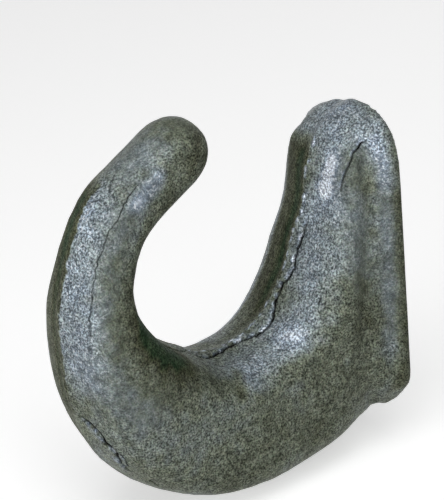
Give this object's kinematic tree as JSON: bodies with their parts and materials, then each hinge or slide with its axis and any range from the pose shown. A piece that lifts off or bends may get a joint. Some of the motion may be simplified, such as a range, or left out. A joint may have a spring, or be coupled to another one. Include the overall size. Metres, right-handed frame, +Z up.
{
  "type": "recovery tow hook",
  "caption": "Weld-on open hook, drop forged in one piece: a thick curved bar with a rounded tip and a flat pad up its back.",
  "frame": {"origin": "centre of the weld face", "axes": "+X out of the weld face, +Z up the pad to the mouth, and Y across the hook, whose halves are equal about the plane y = 0"},
  "size_m": [0.0634, 0.026, 0.0716],
  "materials": {
    "forged_steel": "as forged, not machined or painted: dull dark grey mill scale with a fine grain, laps and the flash line of the dies"
  },
  "bodies": {
    "root": {"tow_hook": "forged_steel"}
  },
  "joints": []
}
